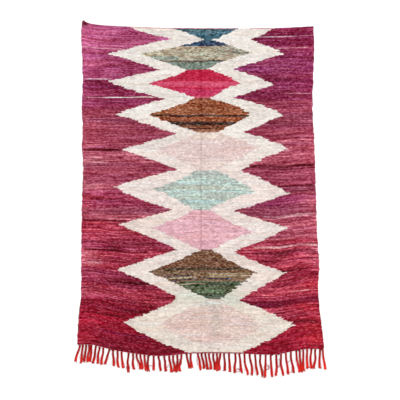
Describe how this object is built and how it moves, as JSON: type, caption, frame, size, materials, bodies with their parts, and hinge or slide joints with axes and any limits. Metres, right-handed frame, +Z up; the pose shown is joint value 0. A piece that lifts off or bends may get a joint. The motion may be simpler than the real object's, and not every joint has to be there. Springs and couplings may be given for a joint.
{
  "type": "boucherouite rug",
  "caption": "Flat handwoven floor rug with a slightly uneven outline and a fringe of long warp locks along one end; lies flat on a floor.",
  "frame": {"origin": "on the floor, under the middle of the woven cloth", "axes": "+Z up out of the upper face; +Y along the length, from the fringed hem to the plain end; +X across the width, to the right seen from above with the fringe near"},
  "size_m": [1.6202, 2.3029, 0.0069],
  "materials": {
    "field_wool": "flat-woven wool and rag weft, matt, magenta to crimson",
    "cream_wool": "flat-woven undyed cream wool weft, matt",
    "diamond_wool": "flat-woven wool and rag weft in several colours, matt",
    "warp_wool": "twisted red warp yarn, slightly fuzzy"
  },
  "bodies": {
    "root": {"cloth": "field_wool", "fringe": "warp_wool"}
  },
  "joints": []
}
